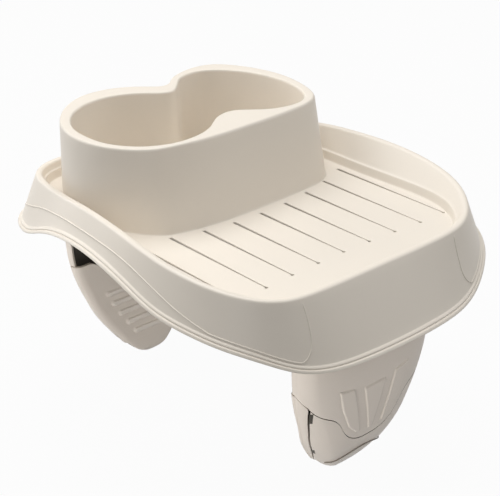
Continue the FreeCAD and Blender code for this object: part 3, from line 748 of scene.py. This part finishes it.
def polygon_depth(points, v, z):
    """Signed distance inside a polygon drawn as v, z; positive inside."""
    p = np.array(points, float)
    best = np.full(v.shape, 1e9)
    odd = np.zeros(v.shape, bool)
    for a, b in zip(p, np.roll(p, -1, 0)):
        d = b - a
        k = np.clip(((v - a[0]) * d[0] + (z - a[1]) * d[1]) / (d @ d), 0, 1)
        best = np.minimum(best, np.hypot(v - a[0] - k * d[0], z - a[1] - k * d[1]))
        if a[1] != b[1]:
            cross = (a[1] > z) != (b[1] > z)
            odd ^= cross & (v < a[0] + (z - a[1]) * d[0] / d[1])
    return np.where(odd, best, -best)


def build_bracket():
    """Outer face and sides of a claw above the seam, with the three fins raised."""
    half = spread((0.0, S_OUT, 104), (S_OUT, S_CORNER, 16), (S_CORNER, S_SIDE, 8),
                  (S_SIDE, BRACKET_END, 5))
    s = np.concatenate([-half[:0:-1], half])
    low = edge_height(lambda z: s, bracket_edge) + GAP
    rho = spread((0.0, 0.55, 24), (0.55, 1.0, 96))[:, None]
    z = CLAW_TOP_Z + (low - CLAW_TOP_Z) * rho
    grid = claw_point(z, s)
    depth = np.max([polygon_depth(fin, grid[..., 1], z) for fin in FINS], axis=0)
    rise = FIN_RISE * smooth_step((depth + 0.3) / 0.6) * (np.abs(s) < S_OUT + 0.1)
    bm = bmesh.new()
    add_grid(bm, grid + surface_normals(grid) * rise[..., None])
    return bm


def slit_edge(z, side):
    """Edge of the cover (1) or of the pad (-1) beside the slit."""
    return s_at_u(z, slit_u(z) + side * SLIT_GAP)


def crease_z(v):
    """Height of the cover's crease, lower to the sides."""
    fall = (CREASE_SIDE_Z - CREASE_MID_Z) * np.clip(np.abs(v) / CREASE_HALF, 0, 1.3) ** 2
    return CREASE_MID_Z + fall


def tip_step(points):
    """The cover's tip lies a little deeper than the rest, below a curved crease."""
    return CREASE_STEP * smooth_step((crease_z(points[..., 1]) - points[..., 2]) / 0.8)


def build_cover():
    """The boot: outer face and sides between seam and slit, then a closed tip."""
    half = spread((0.0, 0.75, 70), (0.75, 1.0, 24))
    share = np.concatenate([-half[:0:-1], half])

    def s_of(z):
        return share * slit_edge(z, 1)

    top = edge_height(s_of, bracket_edge) - GAP
    z = top + (PAD_LOW_Z - top) * np.linspace(0.0, 1.0, 110)[:, None]
    s = s_of(z)
    upper = claw_point(z, s)
    upper = upper - surface_normals(upper) * tip_step(upper)[..., None]
    under_pad = np.linspace(s[-1, -1], 2 * S_BACK + s[-1, 0], 30)[1:-1]
    fall = np.sin(np.linspace(0.0, 1.0, 26)[1:] * math.pi / 2)
    z = PAD_LOW_Z + (CLAW_TIP_Z - PAD_LOW_Z) * fall[:, None]
    tip = claw_point(z, np.concatenate([s[-1], under_pad]))
    tip = tip - surface_normals(tip) * tip_step(tip)[..., None]
    bm = bmesh.new()
    rows, _ = add_grid(bm, upper)
    seat = claw_point(PAD_LOW_Z, under_pad) + [CREASE_STEP, 0.0, 0.0]
    ring = rows[-1] + add_ring(bm, seat)
    for points in tip:
        below = add_ring(bm, points)
        bridge(bm, below, ring)
        ring = below
    bmesh.ops.remove_doubles(bm, verts=bm.verts, dist=1e-3)
    return bm


def build_pad():
    """The inner face and its sides between the two slits, with raised ribs."""
    share = np.linspace(0.0, 1.0, 150)

    def s_of(z):
        a = slit_edge(z, -1)
        return a + 2 * (S_BACK - a) * share

    top = edge_height(s_of, pad_edge) - GAP
    z = top + (PAD_LOW_Z + GAP - top) * np.linspace(0.0, 1.0, 96)[:, None]
    s = s_of(z)
    grid = claw_point(z, s)
    rise = np.zeros(z.shape)
    for k, half_w in enumerate(RIB_HALF_W):
        beside = np.maximum(np.abs(grid[..., 1]) - half_w + RIB_T / 2, 0.0)
        out = np.hypot(beside, z - RIB_LOW_Z - k * RIB_PITCH)
        rise = np.maximum(rise, smooth_step((RIB_T / 2 - out) / 0.6 + 0.5))
    proud = PAD_PROUD * smooth_step((np.minimum(s, 2 * S_BACK - s) - PAD_PROUD_S) / 0.25)
    bm = bmesh.new()
    rows, faces = add_grid(bm, grid + surface_normals(grid) * (proud + RIB_RISE * rise)[..., None])
    # The ribs' top faces take the lighter colour: painted highlight
    tops = {vert for row, high in zip(rows, rise) for vert, h in zip(row, high) if h > 0.5}
    for face in faces:
        if all(vert in tops for vert in face.verts):
            face.material_index = LIT_RIB_SLOT
    return bm


def placed_claw(bm, side):
    """A copy of a claw mesh at the front (1) or, turned half round, at the rear (-1)."""
    out = bm.copy()
    for v in out.verts:
        v.co = Vector((side * v.co.x + CLAW_AXIS_X, side * v.co.y, v.co.z))
    return out


def thickened(obj, rim_offset):
    """Give an open moulding its wall, near-black on its inside faces as painted shade, and softened edges.
    """
    solid = obj.modifiers.new("wall", "SOLIDIFY")
    solid.thickness = LEG_SKIN * MM
    solid.offset = -1.0
    solid.use_even_offset = False
    # The inside faces take the near-black painted shade
    solid.material_offset = PAINTED_SHADE_SLOT
    solid.material_offset_rim = rim_offset
    bevel = obj.modifiers.new("soft edges", "BEVEL")
    bevel.width = EDGE_BREAK * MM
    bevel.segments = 2
    bevel.limit_method = "ANGLE"
    bevel.angle_limit = math.radians(55)
    bpy.context.view_layer.update()
    made = bpy.data.meshes.new_from_object(obj.evaluated_get(bpy.context.evaluated_depsgraph_get()))
    obj.modifiers.clear()
    obj.data = made


def add_prism(bm, loops, low, high):
    """A straight prism over one plan outline, with the other outlines as windows."""
    feet = [add_ring(bm, with_z(loop, low)) for loop in loops]
    tops = [add_ring(bm, with_z(loop, high)) for loop in loops]
    for a, b in zip(feet, tops):
        bridge(bm, a, b)
    fill(bm, feet, False)
    fill(bm, tops, True)


def rectangle(u0, u1, v0, v1):
    """Corners of a plan rectangle."""
    return np.array([(u0, v0, 0.0), (u1, v0, 0.0), (u1, v1, 0.0), (u0, v1, 0.0)])


def add_slab(bm, side, top, low, material):
    """A thin slab between two grids of points, set into a claw's surface."""
    made, rims = [], []
    for grid in (top, low):
        rows, faces = add_grid(bm, [[claw_seated(*point, side) for point in row] for row in grid])
        made += faces
        rims.append(rows[0] + [row[-1] for row in rows[1:]] + rows[-1][-2::-1]
                    + [row[0] for row in rows[-2:0:-1]])
    made += bridge(bm, *rims)
    for face in made:
        face.material_index = material
    bmesh.ops.recalc_face_normals(bm, faces=made)


def add_cover_details(obj, side):
    """A thin dark strip of painted shadow along the cover's crease, and dark slabs of painted shade at the
    snap windows beside the slit.
    """
    bm = bmesh.new()
    bm.from_mesh(obj.data)
    s = np.linspace(-CREASE_LINE_S, CREASE_LINE_S, 161)
    z = np.full(len(s), CREASE_MID_Z)
    for _ in range(20):
        z = 0.5 * (z + crease_z(claw_point(z, s)[:, 1]))
    drop = np.linspace(*CREASE_LINE, 3)[:, None]
    line = claw_point(z + drop, s)
    out = surface_normals(claw_point(z - 4.0 * drop, s))
    # A thin dark slab along the crease: painted shadow
    add_slab(bm, side, line - CREASE_LINE_OUT * out, line - CREASE_LINE_DEPTH * out, SEAM_SHADE_SLOT)
    # Dark slabs of painted shade where the snap windows are
    for low, high in WINDOWS:
        z = np.linspace(high, low, 12)[:, None]
        s = s_at_u(z + np.zeros(5), slit_u(z) + SLIT_GAP + np.linspace(-WINDOW_IN, WINDOW_W, 5))
        patch = claw_point(z, s)
        out = surface_normals(claw_point(z, np.sort(s, axis=1)))[:, ::-1]
        for end in (-1, 1):
            flip = np.array([1.0, end, 1.0])
            add_slab(bm, side, (patch + WINDOW_OUT * out) * flip, (patch - WINDOW_DEPTH * out) * flip,
                     PAINTED_SHADE_SLOT)
    bm.to_mesh(obj.data)
    bm.free()


def add_plate(obj, side):
    """The bracket's top plate, with two ears that the snap posts pass through."""
    bm = bmesh.new()
    section = claw_point(PLATE_SECTION_Z, np.linspace(-S_BACK, S_BACK, 121)[:-1])
    middle = section.mean(0)
    low = -SKIN - PLATE_T
    add_prism(bm, [middle + (section - middle) * PLATE_SHARE], low, -SKIN - PLATE_LAP)
    half_l, half_t = POST_L / 2 + POST_CLEAR, POST_T / 2 + POST_CLEAR
    for v in (-POST_V, POST_V):
        ear = rectangle(EAR_INNER_U, EAR_OUTER_U, v - EAR_W / 2, v + EAR_W / 2)
        window = rectangle(POST_U - half_t, POST_U + half_t, v - half_l, v + half_l)
        add_prism(bm, [ear, window], low + PLATE_LAP, -SKIN - 2 * PLATE_LAP)
    bmesh.ops.recalc_face_normals(bm, faces=bm.faces)
    for v in bm.verts:
        v.co = claw_seated(*v.co, side)
    bm.from_mesh(obj.data)
    bm.to_mesh(obj.data)
    bm.free()


# Materials
class Wire:
    """An output socket that does arithmetic by adding Math nodes."""

    def __init__(self, tree, socket):
        self.tree, self.socket = tree, socket

    def math(self, operation, *others):
        """A Math node on this socket and other sockets or numbers."""
        made = self.tree.nodes.new("ShaderNodeMath")
        made.operation = operation
        for slot, value in zip(made.inputs, (self,) + others):
            if isinstance(value, Wire):
                self.tree.links.new(value.socket, slot)
            else:
                slot.default_value = value
        return Wire(self.tree, made.outputs[0])

    def __add__(self, other):
        return self.math("ADD", other)

    def __sub__(self, other):
        return self.math("SUBTRACT", other)

    def __mul__(self, other):
        return self.math("MULTIPLY", other)

    def __rsub__(self, other):
        return self * -1.0 + other

    __radd__ = __add__
    __rmul__ = __mul__

    def clamp(self, low, high):
        """The value held between two others."""
        return self.math("MAXIMUM", low).math("MINIMUM", high)


class Shader:
    """The node tree of a material or a world, with one method for every kind of node."""

    def __init__(self, owner):
        self.owner = owner
        owner.use_nodes = True
        self.tree = owner.node_tree
        self.tree.nodes.clear()

    def node(self, kind, output=0, inputs=(), **settings):
        """A node by the end of its type's name; gives back one of its outputs."""
        made = self.tree.nodes.new("ShaderNode" + kind)
        for key, value in settings.items():
            setattr(made, key, value)
        for key, value in dict(inputs).items():
            if isinstance(value, Wire):
                self.tree.links.new(value.socket, made.inputs[key])
            else:
                made.inputs[key].default_value = value
        return Wire(self.tree, made.outputs[output]) if made.outputs else made

    def finish(self, surface, output="OutputMaterial"):
        """Connect the surface to the output and give back the material or world."""
        self.node(output, inputs={"Surface": surface})
        return self.owner


def plastic(name, colour, roughness, grain=1.0):
    """Satin moulded plastic: a fine spark-eroded grain, a faint cloudiness and soft sheen."""
    sh = Shader(bpy.data.materials.new(name))
    place = sh.node("TexCoord", "Object")
    cloud = sh.node("TexNoise", "Fac", {"Vector": place, "Scale": 14.0, "Detail": 3.0, "Roughness": 0.5})
    grit = sh.node("TexNoise", "Fac", {"Vector": place, "Scale": 1400.0, "Detail": 2.0, "Roughness": 0.6})
    pores = sh.node("TexVoronoi", "Distance", {"Vector": place, "Scale": 2600.0}, feature="F1")
    cloud_off, grit_off = cloud - 0.5, grit - 0.5
    shade = (1.0 + (0.05 * cloud_off + 0.035 * grit_off)).clamp(0.9, 1.08)
    grey = sh.node("CombineXYZ", 0, {"X": shade, "Y": shade, "Z": shade})
    tint = sh.node("VectorMath", 0, {0: colour, 1: grey}, operation="MULTIPLY")
    rough = (roughness + (0.12 * grit_off + 0.06 * cloud_off)).clamp(0.1, 0.9)
    height = 0.7 * grit + 0.3 * pores
    bump = sh.node("Bump", 0, {"Height": height, "Strength": 0.10 * grain, "Distance": 0.0002})
    return sh.finish(sh.node("BsdfPrincipled", 0, {"Base Color": tint, "Roughness": rough, "Normal": bump}))


# Build the pieces
tray = build_tray()
tray.data.materials.append(plastic("tray plastic", IVORY, 0.42))

claw_plastic = plastic("claw plastic", SHADED_CLAW_IVORY, 0.44)
pad_plastic = plastic("pad plastic", SHADED_CLAW_IVORY, 0.52, 1.6)
inner_plastics = (plastic("painted shade inside", PAINTED_SHADE, 0.6), plastic("rib plastic painted lit", RIB_TOP_LIT_IVORY, 0.5),
                  plastic("shaded seam", SEAM_SHADE, 0.6))
# Name, mesh, table slot, material of its skin, material of the wall's edge by index, details
claw_pieces = [
    ("claw_bracket", build_bracket(), "claw_plastic", claw_plastic, SKIN_SLOT, add_plate),
    # The cover's wall edges at the seam and slits take the dark painted seam shadow
    ("claw_cover", build_cover(), "claw_plastic", claw_plastic, SEAM_SHADE_SLOT, add_cover_details),
    ("grip_pad", build_pad(), "pad_plastic", pad_plastic, SKIN_SLOT, None),
]
claws = []
for end, side in (("front", 1), ("rear", -1)):
    for piece, mesh, table_slot, skin_plastic, rim_offset, add_details in claw_pieces:
        node = end + "_" + piece
        obj = finished(node + "_shell", placed_claw(mesh, side), node)
        for material in (skin_plastic,) + inner_plastics:
            obj.data.materials.append(material)
        thickened(obj, rim_offset)
        if add_details:
            add_details(obj, side)
        claws.append(obj)


# Studio
def studio_floor():
    """A large floor: plain white to the camera and in reflections, grey to other light."""
    sh = Shader(bpy.data.materials.new("studio floor"))
    seen = sh.node("LightPath", "Is Camera Ray").math("MAXIMUM", sh.node("LightPath", "Is Glossy Ray"))
    white = sh.node("Emission", 0, {"Color": WHITE, "Strength": 1.0})
    matt = sh.node("BsdfPrincipled", 0, {"Base Color": FLOOR_GREY, "Roughness": 0.9})
    mix = sh.node("MixShader", 0, {0: FLOOR_SEEN * seen, 1: matt, 2: white})
    bm = bmesh.new()
    bmesh.ops.create_grid(bm, x_segments=1, y_segments=1, size=FLOOR_HALF)
    mesh = bpy.data.meshes.new("studio floor")
    bm.to_mesh(mesh)
    bm.free()
    mesh.materials.append(sh.finish(mix))
    floor = bpy.data.objects.new("studio floor", mesh)
    bpy.context.scene.collection.objects.link(floor)


def studio_world():
    """White to the camera, a faint warm fill to everything else."""
    sh = Shader(bpy.data.worlds.new("studio"))
    fill_light = sh.node("Background", 0, {"Color": WARM_WHITE, "Strength": FILL})
    white = sh.node("Background", 0, {"Color": WHITE})
    seen = sh.node("LightPath", "Is Camera Ray")
    mix = sh.node("MixShader", 0, {0: seen, 1: fill_light, 2: white})
    bpy.context.scene.world = sh.finish(mix, "OutputWorld")


def softbox(name, direction, distance, size, power, only=()):
    """A rectangular lamp aimed at the part; it can be kept to some of the objects."""
    lamp = bpy.data.lights.new(name, "AREA")
    lamp.shape, lamp.size, lamp.size_y = "RECTANGLE", size[0], size[1]
    lamp.energy = power
    obj = bpy.data.objects.new(name, lamp)
    way = Vector(direction).normalized()
    obj.location = AIM + way * distance
    obj.rotation_mode = "QUATERNION"
    obj.rotation_quaternion = way.to_track_quat("Z", "Y")
    bpy.context.scene.collection.objects.link(obj)
    if only:
        lit = bpy.data.collections.new(name + " receivers")
        for piece in only:
            lit.objects.link(piece)
        obj.light_linking.receiver_collection = lit


studio_floor()
studio_world()
softbox("key", (-0.75, -0.85, 1.0), 1.5, (0.9, 0.9), 6.0)
softbox("overhead", (-0.2, 0.1, 1.0), 1.4, (1.2, 1.2), 18.5)
softbox("left", (-1.0, -0.35, 0.3), 1.5, (0.8, 0.8), 6.0)
softbox("low strip", (0.3, -1.0, -0.05), 1.0, (0.6, 0.12), 4.4, claws)
softbox("front", (0.8, -0.75, 0.4), 1.5, (0.9, 0.9), 3.0)
softbox("far side", (0.5, 1.0, 0.5), 1.6, (0.9, 0.9), 4.6)

camera = bpy.data.objects.new("camera", bpy.data.cameras.new("camera"))
camera.data.lens = LENS
camera.data.sensor_width = SENSOR
az, el = math.radians(CAMERA_AZ), math.radians(CAMERA_EL)
back = Vector((math.sin(az) * math.cos(el), -math.cos(az) * math.cos(el), math.sin(el)))
camera.location = AIM + back * (CAMERA_DISTANCE * MM)
camera.rotation_mode = "QUATERNION"
camera.rotation_quaternion = back.to_track_quat("Z", "Y")
camera.data.clip_start, camera.data.clip_end = 0.05, 50.0
bpy.context.scene.collection.objects.link(camera)
bpy.context.scene.camera = camera
bpy.context.scene.view_settings.view_transform = "Standard"

bpy.context.view_layer.update()
